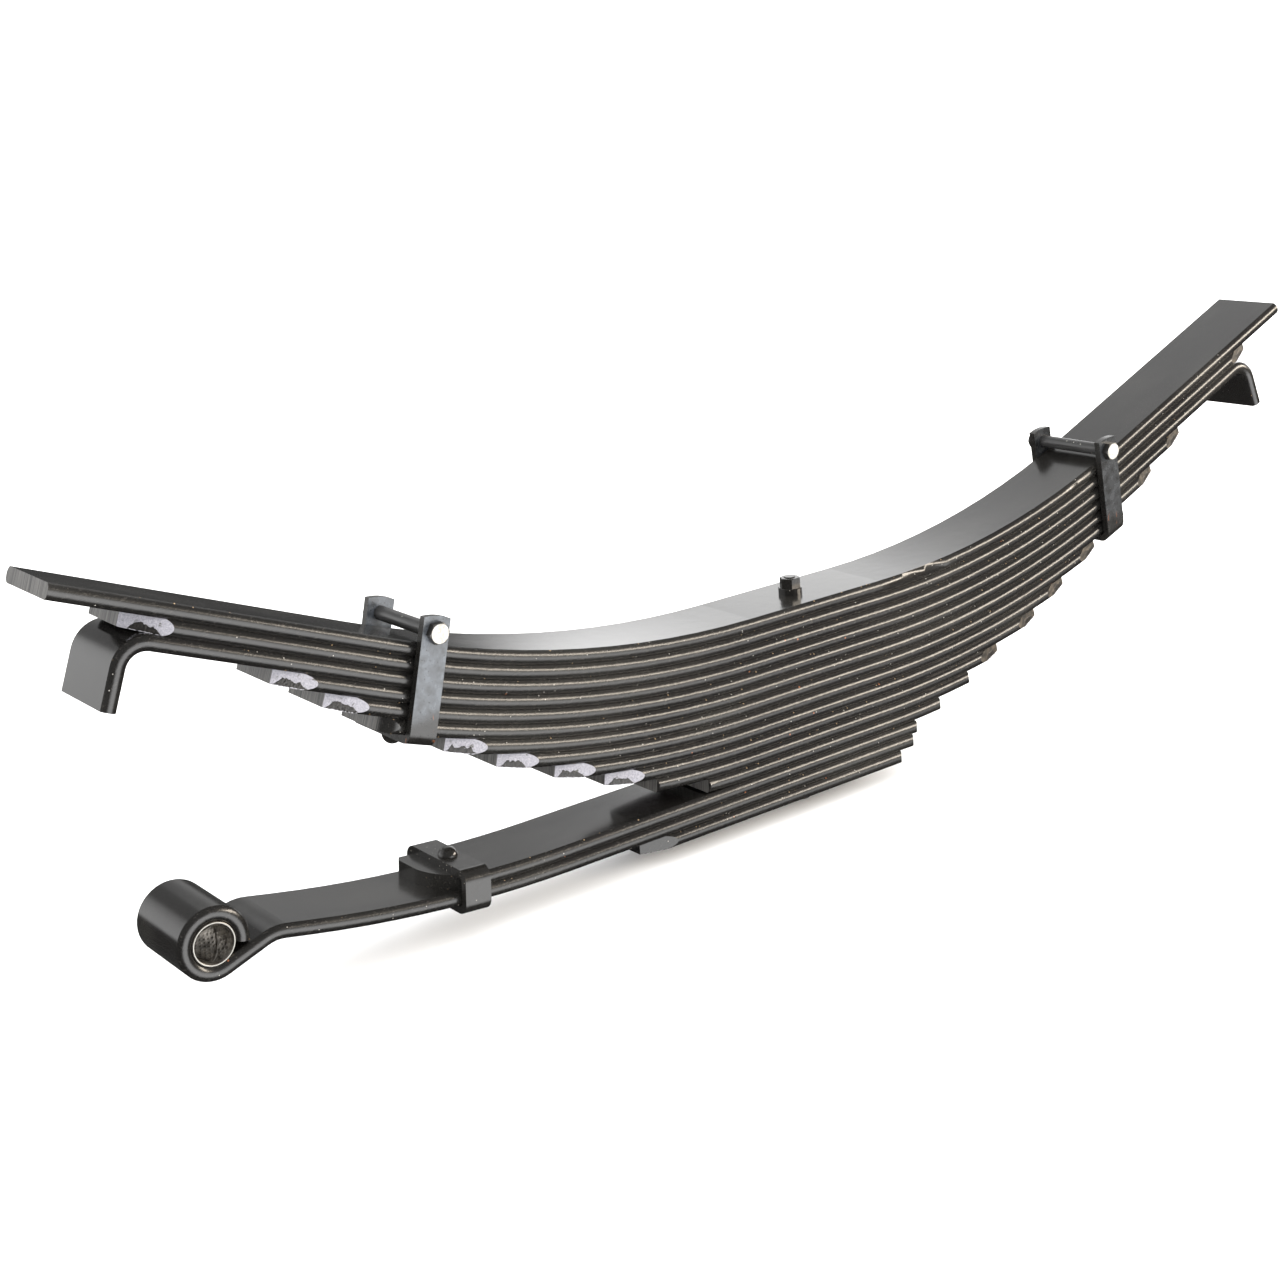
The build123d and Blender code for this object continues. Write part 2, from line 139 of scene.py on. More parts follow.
class BushSettings(PropertyGroup):
    """Lining of the eye bush."""

    dimple_depth: FloatProperty(
        name="Dimple depth",
        description="Depth of the grease dimples",
        subtype="DISTANCE",
        unit="LENGTH",
        default=0.5 * MM,
        precision=5,
    )
    dimple_size: FloatProperty(
        name="Dimple size",
        description="Diameter of a grease dimple",
        subtype="DISTANCE",
        unit="LENGTH",
        default=2.0 * MM,
        precision=5,
    )
    groove_depth: FloatProperty(
        name="Groove depth",
        description="Depth of the crossed grease grooves",
        subtype="DISTANCE",
        unit="LENGTH",
        default=0.7 * MM,
        precision=5,
    )


class BurrSettings(PropertyGroup):
    """Torn steel on the sheared corners."""

    size: FloatProperty(
        name="Burr size",
        description="Thickness of the torn lip",
        subtype="DISTANCE",
        unit="LENGTH",
        default=0.9 * MM,
        precision=5,
    )
    seed: IntProperty(name="Seed", description="Seed of the torn lip's shape", default=7)


class StudioSettings(PropertyGroup):
    """Floor, lights and camera."""

    floor_tint: FloatVectorProperty(
        name="Floor", description="Colour of the floor", subtype="COLOR", default=linear(0xF4F4F4)
    )
    back_glow: FloatProperty(name="Back glow", description="Strength of the white wall behind", default=2.5)
    front_box: FloatProperty(
        name="Front box", description="Power of the front soft box", subtype="POWER", default=110.0
    )
    table_glow: FloatProperty(
        name="Table glow", description="Strength of the lit table in front", default=5.0
    )
    overhead: FloatProperty(name="Overhead", description="Strength of the overhead fill", default=6.0)
    lens: FloatProperty(name="Lens", description="Focal length", subtype="DISTANCE_CAMERA", default=56.89)


# ---------------------------------------------------------------- materials
# Settings that many nodes share. A mix of colours takes its share at 0 and its two colours at 6 and 7,
# and gives its result at 2.
ADD = {"operation": "ADD"}
SUBTRACT = {"operation": "SUBTRACT"}
MULTIPLY = {"operation": "MULTIPLY"}
MAXIMUM = {"operation": "MAXIMUM"}
ABSOLUTE = {"operation": "ABSOLUTE"}
LESS_THAN = {"operation": "LESS_THAN"}
SMOOTH = {"interpolation_type": "SMOOTHSTEP"}
COLOURS = {"data_type": "RGBA", "clamp_factor": True}


def add_node(tree, kind, settings=None, inputs=None):
    """Adds one node with its settings; an input is a number, a colour or another node's output."""
    node = tree.nodes.new(kind)
    for name, value in (settings or {}).items():
        setattr(node, name, value)
    for name, value in (inputs or {}).items():
        if isinstance(value, NodeSocket):
            tree.links.new(value, node.inputs[name])
        elif node.inputs[name].type == "RGBA":
            node.inputs[name].default_value = (*value, 1.0)
        else:
            node.inputs[name].default_value = value
    return node


def start_material(name, roughness, metallic=0.0):
    """An empty node material with its surface shader."""
    material = bpy.data.materials.new(name)
    material.use_nodes = True
    tree = material.node_tree
    tree.nodes.clear()
    start = {"Roughness": roughness, "Metallic": metallic}
    surface = add_node(tree, "ShaderNodeBsdfPrincipled", None, start)
    add_node(tree, "ShaderNodeOutputMaterial", None, {"Surface": surface.outputs[0]})
    return material, tree, surface


def grain(tree, place, size_mm, detail=2.0, stretch=(1.0, 1.0, 1.0)):
    """Soft blotches of a real size, drawn out along an axis by a stretch above 1."""
    scale = {"Vector": place, "Scale": tuple(1 / s for s in stretch)}
    drawn = add_node(tree, "ShaderNodeMapping", None, scale).outputs[0]
    inputs = {"Vector": drawn, "Scale": 1 / (size_mm * MM), "Detail": detail}
    return add_node(tree, "ShaderNodeTexNoise", None, inputs).outputs["Fac"]


def specks(tree, place, spacing_mm, size_share, kept):
    """Scattered spots on a random grid: spacing, size as a share of it, and the share of spots kept."""
    inputs = {"Vector": place, "Scale": 1 / (spacing_mm * MM)}
    cells = add_node(tree, "ShaderNodeTexVoronoi", None, inputs)
    near = add_node(tree, "ShaderNodeMapRange", SMOOTH, {
        "Value": cells.outputs["Distance"],
        "From Min": size_share,
        "From Max": size_share * 0.6,
    }).outputs[0]
    chance = add_node(tree, "ShaderNodeSeparateColor", None, {0: cells.outputs["Color"]}).outputs[0]
    return add_node(tree, "ShaderNodeMath", MULTIPLY, {
        0: near,
        1: add_node(tree, "ShaderNodeMath", LESS_THAN, {0: chance, 1: kept}).outputs[0],
    }).outputs[0]


def face_turns(tree):
    """The three parts of the direction that a face looks in."""
    facing = add_node(tree, "ShaderNodeNewGeometry").outputs["True Normal"]
    return add_node(tree, "ShaderNodeSeparateXYZ", None, {0: facing}).outputs


def raise_surface(tree, surface, heights):
    """Joins heights in millimetres into the shader's bump."""
    total = None
    for height, millimetres in heights:
        part = add_node(tree, "ShaderNodeMath", MULTIPLY, {0: height, 1: millimetres}).outputs[0]
        if total is not None:
            part = add_node(tree, "ShaderNodeMath", ADD, {0: total, 1: part}).outputs[0]
        total = part
    bump = add_node(tree, "ShaderNodeBump", None, {"Height": total, "Distance": MM, "Strength": 1.0})
    tree.links.new(bump.outputs[0], surface.inputs["Normal"])


def leaf_enamel(name, settings, cut_ends, sheared_corners):
    """Rolled spring steel, sprayed black chassis enamel.

    The flats are level enough to mirror the room softly; the rolled edges carry mill scale under the
    paint, which breaks the long highlight into grain. Cut ends keep the shear's upright score lines.
    """
    material, tree, surface = start_material(name, 0.2)
    place = add_node(tree, "ShaderNodeTexCoord").outputs["Object"]
    turn_x, turn_y, _ = face_turns(tree)
    along_y = add_node(tree, "ShaderNodeMath", ABSOLUTE, {0: turn_y}).outputs[0]
    along_x = add_node(tree, "ShaderNodeMath", ABSOLUTE, {0: turn_x}).outputs[0]
    side_edge = add_node(tree, "ShaderNodeMapRange", SMOOTH, {
        "Value": along_y,
        "From Min": 0.35,
        "From Max": 0.5,
    }).outputs[0]
    cloud = grain(tree, place, 55, 3, (3, 1, 1))
    mill_scale = grain(tree, place, 1.6, 4, (2.5, 1, 1))
    peel = grain(tree, place, 1.1, 1)
    colour = add_node(tree, "ShaderNodeMix", COLOURS, {
        0: add_node(tree, "ShaderNodeMapRange", SMOOTH, {
            "Value": cloud,
            "From Min": 0.4,
            "From Max": 0.7,
        }).outputs[0],
        6: settings.black,
        7: settings.dusty,
    }).outputs[2]
    dust = add_node(tree, "ShaderNodeMath", MULTIPLY, {
        0: add_node(tree, "ShaderNodeMapRange", SMOOTH, {
            "Value": mill_scale,
            "From Min": 0.58,
            "From Max": 0.7,
        }).outputs[0],
        1: side_edge,
    }).outputs[0]
    colour = add_node(tree, "ShaderNodeMix", COLOURS, {
        0: add_node(tree, "ShaderNodeMath", MULTIPLY, {0: dust, 1: 0.25}).outputs[0],
        6: colour,
        7: linear(0x4A4742),
    }).outputs[2]
    flecks = specks(tree, place, 5.0, 0.11, 0.22)
    flecks = add_node(tree, "ShaderNodeMath", MULTIPLY, {
        0: flecks,
        1: add_node(tree, "ShaderNodeMath", ADD, {
            0: add_node(tree, "ShaderNodeMath", MULTIPLY, {0: side_edge, 1: 0.8}).outputs[0],
            1: 0.08,
        }).outputs[0],
    }).outputs[0]
    colour = add_node(tree, "ShaderNodeMix", COLOURS, {
        0: flecks,
        6: colour,
        7: linear(0xA9A59E),
    }).outputs[2]
    crevice = add_node(tree, "ShaderNodeMath", MULTIPLY, {
        0: side_edge,
        1: add_node(tree, "ShaderNodeMapRange", SMOOTH, {
            "Value": along_y,
            "From Min": 0.8,
            "From Max": 0.6,
        }).outputs[0],
    }).outputs[0]
    grit = add_node(tree, "ShaderNodeMath", MULTIPLY, {
        0: specks(tree, place, 3.4, 0.22, 0.12),
        1: crevice,
    }).outputs[0]
    colour = add_node(tree, "ShaderNodeMix", COLOURS, {0: grit, 6: colour, 7: linear(0x9C8465)}).outputs[2]
    rusty = add_node(tree, "ShaderNodeMath", MULTIPLY, {
        0: specks(tree, place, 14.0, 0.08, 0.15),
        1: side_edge,
    }).outputs[0]
    colour = add_node(tree, "ShaderNodeMix", COLOURS, {0: rusty, 6: colour, 7: settings.rust}).outputs[2]
    rough = add_node(tree, "ShaderNodeMath", ADD, {
        0: add_node(tree, "ShaderNodeMath", MULTIPLY, {0: cloud, 1: 0.1}).outputs[0],
        1: 0.12,
    }).outputs[0]
    rough = add_node(tree, "ShaderNodeMath", ADD, {
        0: rough,
        1: add_node(tree, "ShaderNodeMath", MULTIPLY, {0: side_edge, 1: 0.08}).outputs[0],
    }).outputs[0]
    if cut_ends:
        end_face = add_node(tree, "ShaderNodeMath", MULTIPLY, {
            0: add_node(tree, "ShaderNodeMapRange", SMOOTH, {
                "Value": along_x,
                "From Min": 0.8,
                "From Max": 0.85,
            }).outputs[0],
            1: add_node(tree, "ShaderNodeMath", LESS_THAN, {0: along_y, 1: 0.4}).outputs[0],
        }).outputs[0]
        score = grain(tree, place, 1.2, 2, (40, 1, 40))
        ribs = add_node(tree, "ShaderNodeMath", MULTIPLY, {0: score, 1: end_face}).outputs[0]
        end_colour = add_node(tree, "ShaderNodeMix", COLOURS, {
            0: add_node(tree, "ShaderNodeMapRange", SMOOTH, {
                "Value": score,
                "From Min": 0.3,
                "From Max": 0.7,
            }).outputs[0],
            6: linear(0x1C1B1A),
            7: linear(0x555350),
        }).outputs[2]
        colour = add_node(tree, "ShaderNodeMix", COLOURS, {
            0: end_face,
            6: colour,
            7: end_colour,
        }).outputs[2]
        rough = add_node(tree, "ShaderNodeMath", ADD, {
            0: rough,
            1: add_node(tree, "ShaderNodeMath", MULTIPLY, {0: end_face, 1: 0.2}).outputs[0],
        }).outputs[0]
    # Sheared corners: those facing left get a pale lavender painted reflection, broken by darker mottled
    # patches; those facing right get a dull mottled brown without it.
    if sheared_corners:
        corner = add_node(tree, "ShaderNodeMath", MULTIPLY, {
            0: add_node(tree, "ShaderNodeMapRange", SMOOTH, {
                "Value": along_x,
                "From Min": 0.23,
                "From Max": 0.26,
            }).outputs[0],
            1: add_node(tree, "ShaderNodeMapRange", SMOOTH, {
                "Value": along_y,
                "From Min": 0.78,
                "From Max": 0.82,
            }).outputs[0],
        }).outputs[0]
        mottle = grain(tree, place, 4.5, 4, (1.6, 1, 1))
        fine = grain(tree, place, 0.9, 2)
        # Painted reflection for the left-facing sheared corners.
        bright = add_node(tree, "ShaderNodeMix", COLOURS, {
            0: add_node(tree, "ShaderNodeMapRange", SMOOTH, {
                "Value": fine,
                "From Min": 0.35,
                "From Max": 0.7,
            }).outputs[0],
            6: linear(0x7F7E85),
            7: settings.sheared,
        }).outputs[2]
        bright = add_node(tree, "ShaderNodeMix", COLOURS, {
            0: add_node(tree, "ShaderNodeMapRange", SMOOTH, {
                "Value": mottle,
                "From Min": 0.62,
                "From Max": 0.72,
            }).outputs[0],
            6: bright,
            7: linear(0x45433F),
        }).outputs[2]
        right_corner_no_reflection = add_node(tree, "ShaderNodeMix", COLOURS, {
            0: add_node(tree, "ShaderNodeMapRange", SMOOTH, {
                "Value": mottle,
                "From Min": 0.35,
                "From Max": 0.7,
            }).outputs[0],
            6: linear(0x1E1C19),
            7: linear(0x4E463C),
        }).outputs[2]
        reflecting_left_side = add_node(tree, "ShaderNodeMath", LESS_THAN, {0: turn_x, 1: 0.0}).outputs[0]
        colour = add_node(tree, "ShaderNodeMix", COLOURS, {
            0: corner,
            6: colour,
            7: add_node(tree, "ShaderNodeMix", COLOURS, {0: reflecting_left_side, 6: right_corner_no_reflection, 7: bright}).outputs[2],
        }).outputs[2]
        rough = add_node(tree, "ShaderNodeMath", ADD, {
            0: rough,
            1: add_node(tree, "ShaderNodeMath", MULTIPLY, {0: corner, 1: 0.25}).outputs[0],
        }).outputs[0]
        torn = add_node(tree, "ShaderNodeMath", MULTIPLY, {0: mottle, 1: corner}).outputs[0]
    tree.links.new(colour, surface.inputs["Base Color"])
    tree.links.new(rough, surface.inputs["Roughness"])
    heights = [
        (peel, settings.peel / MM),
        (add_node(tree, "ShaderNodeMath", MULTIPLY, {0: mill_scale, 1: side_edge}).outputs[0], 0.1),
        (grain(tree, place, 14, 1), 0.05),
    ]
    if cut_ends:
        heights.append((ribs, 0.15))
    if sheared_corners:
        heights.append((torn, 0.5))
    raise_surface(tree, surface, heights)
    return material


def strap_enamel(name, settings, sheen_and_rub, dark_below, pale_above):
    """Hot-bent strap steel under thin black enamel, rubbed light where it was handled, with a painted
    reflection on the same pale patches.

    Light blue-grey patches with black flecks on the faces turned front and back; darker towards the bottom,
    where the low end stays black, with rust in the scratches.
    """
    material, tree, surface = start_material(name, 0.3)
    place = add_node(tree, "ShaderNodeTexCoord").outputs["Object"]
    height = add_node(tree, "ShaderNodeSeparateXYZ", None, {0: place}).outputs[2]
    turn_y = add_node(tree, "ShaderNodeMath", ABSOLUTE, {0: face_turns(tree)[1]}).outputs[0]
    rubbed = grain(tree, place, 9, 5)
    fleck = specks(tree, place, 2.2, 0.22, 0.3)
    # Pale rubbed wear with a painted reflection, only on the faces turned front and back, darker towards
    # the bottom and broken by black flecks.
    rub_and_sheen = add_node(tree, "ShaderNodeMath", MULTIPLY, {
        0: add_node(tree, "ShaderNodeMapRange", SMOOTH, {
            "Value": turn_y,
            "From Min": 0.8,
            "From Max": 0.95,
        }).outputs[0],
        1: sheen_and_rub,
    }).outputs[0]
    rub_and_sheen = add_node(tree, "ShaderNodeMath", MULTIPLY, {
        0: rub_and_sheen,
        1: add_node(tree, "ShaderNodeMapRange", SMOOTH, {
            "Value": height,
            "From Min": dark_below,
            "From Max": pale_above,
        }).outputs[0],
    }).outputs[0]
    rub_and_sheen = add_node(tree, "ShaderNodeMath", MULTIPLY, {
        0: rub_and_sheen,
        1: add_node(tree, "ShaderNodeMapRange", SMOOTH, {
            "Value": rubbed,
            "From Min": 0.1,
            "From Max": 0.75,
        }).outputs[0],
    }).outputs[0]
    rub_and_sheen = add_node(tree, "ShaderNodeMath", MULTIPLY, {
        0: rub_and_sheen,
        1: add_node(tree, "ShaderNodeMath", SUBTRACT, {0: 1.0, 1: fleck}).outputs[0],
    }).outputs[0]
    colour = add_node(tree, "ShaderNodeMix", COLOURS, {
        0: rubbed,
        6: settings.black,
        7: settings.dusty,
    }).outputs[2]
    colour = add_node(tree, "ShaderNodeMix", COLOURS, {
        0: rub_and_sheen,
        6: colour,
        7: settings.strap_rub_and_sheen,
    }).outputs[2]
    scratch = add_node(tree, "ShaderNodeMapRange", SMOOTH, {
        "Value": grain(tree, place, 3.0, 3, (1, 1, 6)),
        "From Min": 0.66,
        "From Max": 0.7,
    }).outputs[0]
    low_down = add_node(tree, "ShaderNodeMapRange", SMOOTH, {
        "Value": height,
        "From Min": pale_above,
        "From Max": dark_below,
    }).outputs[0]
    rust = add_node(tree, "ShaderNodeMath", MULTIPLY, {
        0: add_node(tree, "ShaderNodeMath", MULTIPLY, {0: scratch, 1: low_down}).outputs[0],
        1: 0.8,
    }).outputs[0]
    colour = add_node(tree, "ShaderNodeMix", COLOURS, {0: rust, 6: colour, 7: settings.rust}).outputs[2]
    tree.links.new(colour, surface.inputs["Base Color"])
    rough = add_node(tree, "ShaderNodeMath", ADD, {
        0: add_node(tree, "ShaderNodeMath", MULTIPLY, {0: rubbed, 1: 0.2}).outputs[0],
        1: 0.16,
    }).outputs[0]
    tree.links.new(rough, surface.inputs["Roughness"])
    raise_surface(tree, surface, [(rubbed, 0.12), (grain(tree, place, 1.2, 1), 0.012), (fleck, -0.08)])
    return material


def gloss_enamel(name, settings, roughness):
    """Forged or turned steel under a thick gloss black coat: small hard highlights, smooth dark body."""
    material, tree, surface = start_material(name, roughness)
    place = add_node(tree, "ShaderNodeTexCoord").outputs["Object"]
    cloud = grain(tree, place, 6, 2)
    chip = specks(tree, place, 4.0, 0.12, 0.3)
    colour = add_node(tree, "ShaderNodeMix", COLOURS, {
        0: cloud,
        6: settings.black,
        7: settings.dusty,
    }).outputs[2]
    colour = add_node(tree, "ShaderNodeMix", COLOURS, {0: chip, 6: colour, 7: linear(0x8A857C)}).outputs[2]
    tree.links.new(colour, surface.inputs["Base Color"])
    rough = add_node(tree, "ShaderNodeMath", ADD, {
        0: add_node(tree, "ShaderNodeMath", MULTIPLY, {0: cloud, 1: 0.12}).outputs[0],
        1: roughness - 0.06,
    }).outputs[0]
    tree.links.new(rough, surface.inputs["Roughness"])
    raise_surface(tree, surface, [(grain(tree, place, 1.4, 1), 0.02), (cloud, 0.1)])
    return material


def bare_head(name, settings):
    """Forged hexagon, black enamel rubbed off its face: a pale, finely scored disc inside dark flats."""
    material, tree, surface = start_material(name, 0.32)
    place = add_node(tree, "ShaderNodeTexCoord").outputs["Object"]
    turn_y = add_node(tree, "ShaderNodeMath", ABSOLUTE, {0: face_turns(tree)[1]}).outputs[0]
    score = grain(tree, place, 0.5, 3, (8, 1, 1))
    spots = grain(tree, place, 2.4, 4)
    face = add_node(tree, "ShaderNodeMath", MULTIPLY, {
        0: add_node(tree, "ShaderNodeMapRange", SMOOTH, {
            "Value": turn_y,
            "From Min": 0.86,
            "From Max": 0.9,
        }).outputs[0],
        1: add_node(tree, "ShaderNodeMapRange", SMOOTH, {
            "Value": spots,
            "From Min": 0.76,
            "From Max": 0.68,
        }).outputs[0],
    }).outputs[0]
    metal = add_node(tree, "ShaderNodeMix", COLOURS, {
        0: add_node(tree, "ShaderNodeMapRange", SMOOTH, {
            "Value": spots,
            "From Min": 0.3,
            "From Max": 0.65,
        }).outputs[0],
        6: linear(0xC9C7C3),
        7: linear(0x98968F),
    }).outputs[2]
    colour = add_node(tree, "ShaderNodeMix", COLOURS, {
        0: face,
        6: add_node(tree, "ShaderNodeMix", COLOURS, {
            0: spots,
            6: settings.black,
            7: settings.dusty,
        }).outputs[2],
        7: metal,
    }).outputs[2]
    tree.links.new(colour, surface.inputs["Base Color"])
    rough = add_node(tree, "ShaderNodeMath", ADD, {
        0: add_node(tree, "ShaderNodeMath", MULTIPLY, {0: score, 1: 0.2}).outputs[0],
        1: 0.22,
    }).outputs[0]
    tree.links.new(rough, surface.inputs["Roughness"])
    raise_surface(tree, surface, [(score, 0.02), (spots, 0.08)])
    return material


def tube_enamel(name, settings):
    """Drawn steel tube, satin black enamel: one soft line of light along it, with drawn streaks."""
    material, tree, surface = start_material(name, 0.3)
    place = add_node(tree, "ShaderNodeTexCoord").outputs["Object"]
    streak = grain(tree, place, 1.2, 2, (1, 25, 1))
    cloud = grain(tree, place, 12, 3)
    chip = specks(tree, place, 6.0, 0.12, 0.25)
    colour = add_node(tree, "ShaderNodeMix", COLOURS, {
        0: streak,
        6: settings.black,
        7: linear(0x3A3A3A),
    }).outputs[2]
    colour = add_node(tree, "ShaderNodeMix", COLOURS, {0: chip, 6: colour, 7: linear(0x9A9890)}).outputs[2]
    tree.links.new(colour, surface.inputs["Base Color"])
    rough = add_node(tree, "ShaderNodeMath", ADD, {
        0: add_node(tree, "ShaderNodeMath", MULTIPLY, {0: cloud, 1: 0.2}).outputs[0],
        1: 0.2,
    }).outputs[0]
    tree.links.new(rough, surface.inputs["Roughness"])
    raise_surface(tree, surface, [(streak, 0.03), (cloud, 0.05)])
    return material


def bush_steel(name):
    """Steel-backed rolled bush: a bright turned rim, and a lining darkened by grease in its dimples."""
    material, tree, surface = start_material(name, 0.34, metallic=0.85)
    place = add_node(tree, "ShaderNodeTexCoord").outputs["Object"]
    turn_y = add_node(tree, "ShaderNodeMath", ABSOLUTE, {0: face_turns(tree)[1]}).outputs[0]
    smear = grain(tree, place, 7, 4)
    fine = grain(tree, place, 0.8, 2, (1, 12, 1))
    lining = add_node(tree, "ShaderNodeMix", COLOURS, {
        0: add_node(tree, "ShaderNodeMapRange", SMOOTH, {
            "Value": smear,
            "From Min": 0.35,
            "From Max": 0.65,
        }).outputs[0],
        6: linear(0x5A554E),
        7: linear(0xA29C93),
    }).outputs[2]
    colour = add_node(tree, "ShaderNodeMix", COLOURS, {
        0: add_node(tree, "ShaderNodeMapRange", SMOOTH, {
            "Value": turn_y,
            "From Min": 0.6,
            "From Max": 0.8,
        }).outputs[0],
        6: lining,
        7: linear(0x918F8A),
    }).outputs[2]
    tree.links.new(colour, surface.inputs["Base Color"])
    rough = add_node(tree, "ShaderNodeMath", ADD, {
        0: add_node(tree, "ShaderNodeMath", MULTIPLY, {0: smear, 1: 0.3}).outputs[0],
        1: 0.2,
    }).outputs[0]
    tree.links.new(rough, surface.inputs["Roughness"])
    raise_surface(tree, surface, [(fine, 0.02), (smear, 0.05)])
    return material


def torn_steel(name, crest):
    """Torn steel of the shear cut, thinly painted: rough, with black in the tears."""
    material, tree, surface = start_material(name, 0.38)
    place = add_node(tree, "ShaderNodeTexCoord").outputs["Object"]
    tear = grain(tree, place, 1.6, 4)
    colour = add_node(tree, "ShaderNodeMix", COLOURS, {
        0: add_node(tree, "ShaderNodeMapRange", SMOOTH, {
            "Value": tear,
            "From Min": 0.4,
            "From Max": 0.55,
        }).outputs[0],
        6: linear(0x121110),
        7: linear(crest),
    }).outputs[2]
    tree.links.new(colour, surface.inputs["Base Color"])
    raise_surface(tree, surface, [(tear, 0.3)])
    return material


def floor_vinyl(name, tint):
    """Rolled studio vinyl, matt and pale, with a very faint grain."""
    material, tree, surface = start_material(name, 0.9)
    cloud = grain(tree, add_node(tree, "ShaderNodeTexCoord").outputs["Object"], 90, 2)
    surface.inputs["Specular IOR Level"].default_value = 0.0
    colour = add_node(tree, "ShaderNodeMix", COLOURS, {
        0: add_node(tree, "ShaderNodeMath", MULTIPLY, {0: cloud, 1: 0.1}).outputs[0],
        6: tint,
        7: linear(0xEDEDED),
    }).outputs[2]
    tree.links.new(colour, surface.inputs["Base Color"])
    return material


# ---------------------------------------------------------------- small tools for pieces
def finish_node(name, material):
    """Gives a CAD node its finish."""
    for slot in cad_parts[name].material_slots:
        slot.material = material


def new_piece(name, mesh_data, material, body):
    """Puts a finished mesh on a body."""
    mesh = bpy.data.meshes.new(name)
    mesh_data.to_mesh(mesh)
    mesh_data.free()
    mesh.shade_smooth()
    piece = bpy.data.objects.new(name, mesh)
    bpy.context.scene.collection.objects.link(piece)
    piece.data.materials.append(material)
    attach(piece, body)
    return piece


# ---------------------------------------------------------------- pieces
class SPRING_OT_leaves(Operator):
    """Paint the fifteen leaves"""

    bl_idname = "spring.leaves"
    bl_label = "Leaves"

    def execute(self, context):
        settings = context.scene.enamel
        trimmed = leaf_enamel("Spring steel, sheared ends, black enamel", settings, True, True)
        rounded = leaf_enamel("Spring steel, cut ends, black enamel", settings, True, False)
        bent = leaf_enamel("Spring steel, bent, black enamel", settings, False, False)
        for names, material in ((TRIMMED_LEAVES, trimmed), (ROUNDED_LEAVES, rounded), (BENT_LEAVES, bent)):
            for name in names:
                finish_node(name, material)
        return {"FINISHED"}


class SPRING_OT_burrs(Operator):
    """Leave torn steel and a lip along the low edge of every sheared corner"""

    bl_idname = "spring.burrs"
    bl_label = "Torn corners"

    def execute(self, context):
        settings = context.scene.burrs
        chance = random.Random(settings.seed)
        pale = torn_steel("Spring steel, torn lip of the shear cut", 0xA3A2A8)
        dark = torn_steel("Spring steel, torn and sunk in enamel", 0x24211E)
        for name in TRIMMED_LEAVES:
            lips = bmesh.new()
            tears = bmesh.new()
            for corner in sheared_corners(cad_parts[name]):
                add_lip(lips, corner, settings.size, chance)
                add_tear(tears, corner, settings.size, chance)
            if not lips.verts:
                raise RuntimeError(f"no sheared corner found on {name}")
            number = name[5:7]
            new_piece(f"torn_lip_{number}", lips, pale, PACK)
            new_piece(f"torn_corner_{number}", tears, dark, PACK)
        return {"FINISHED"}


class ShearedCorner:
    """Flat left by one sheared corner: its plane, and its low and high edge across the leaf."""

    def __init__(self, turn, points):
        level = Vector((turn.x, 0, turn.z)).normalized()
        self.turn = turn
        self.up = Vector((-level.z, 0, level.x)) * (1 if level.x > 0 else -1)
        self.along = self.up.cross(turn).normalized()
        if self.along.y * turn.y < 0:
            self.along.negate()
        self.start = min(points, key=lambda p: abs(p.y))
        spots = sorted(((p - self.start).dot(self.along), (p - self.start).dot(self.up)) for p in points)
        middle_height = (min(h for _, h in spots) + max(h for _, h in spots)) / 2
        self.low = [spot for spot in spots if spot[1] < middle_height]
        self.high = [spot for spot in spots if spot[1] >= middle_height]
        self.length = spots[-1][0]

    def height(self, edge, run):
        """Height of the low or high edge at a run along the flat."""
        for (run_a, height_a), (run_b, height_b) in zip(edge, edge[1:]):
            if run_a <= run <= run_b and run_b > run_a:
                return height_a + (height_b - height_a) * (run - run_a) / (run_b - run_a)
        return edge[-1][1] if run > edge[-1][0] else edge[0][1]

    def place(self, run, height, proud):
        """A point on the flat, standing proud of it."""
        return self.start + self.along * run + self.up * height + self.turn * proud


def sheared_corners(leaf):
    """The sheared corners of a leaf."""
    longest_cut = 45 * MM
    smallest_face = 0.1 * MM * MM
    mesh = leaf.data
    ends = (min(v.co.x for v in mesh.vertices), max(v.co.x for v in mesh.vertices))
    corners = {}
    for face in mesh.polygons:
        turn = face.normal
        at_end = abs(face.center.x - ends[turn.x > 0]) < longest_cut
        if abs(turn.x) > 0.25 and abs(turn.y) > 0.8 and at_end and face.area > smallest_face:
            corners.setdefault((turn.x > 0, turn.y > 0), []).append(face)
    found = []
    for faces in corners.values():
        largest = max(faces, key=lambda face: face.area)
        flat = [face for face in faces if face.normal.dot(largest.normal) > 0.999]
        points = {tuple(mesh.vertices[i].co) for face in flat for i in face.vertices}
        found.append(ShearedCorner(largest.normal.copy(), [Vector(p) for p in points]))
    return found


def add_lip(mesh_data, corner, size, chance):
    """An uneven ridge along the low edge, sunk by half into the steel."""
    count = 34
    sides = 7
    lip_share = 0.86
    rings = []
    for i in range(count + 1):
        run = corner.length * lip_share * i / count
        taper = min(1.0, 0.4 + 4.0 * i / count, 4.0 * (count - i) / count + 0.1)
        radius = size * 0.42 * taper * (0.6 + 0.8 * chance.random())
        centre = corner.place(run, corner.height(corner.low, run) + radius * 0.4, size * 0.05)
        ring = []
        for side in range(sides):
            angle = tau * side / sides
            wobble = radius * (0.75 + 0.5 * chance.random())
            spoke = corner.turn * cos(angle) + corner.up * sin(angle)
            ring.append(mesh_data.verts.new(centre + spoke * wobble))
        rings.append(ring)
    for first, second in zip(rings, rings[1:]):
        for side in range(sides):
            after = (side + 1) % sides
            mesh_data.faces.new((first[side], first[after], second[after], second[side]))
    mesh_data.faces.new(list(reversed(rings[0])))
    mesh_data.faces.new(rings[-1])
    bmesh.ops.recalc_face_normals(mesh_data, faces=mesh_data.faces[:])


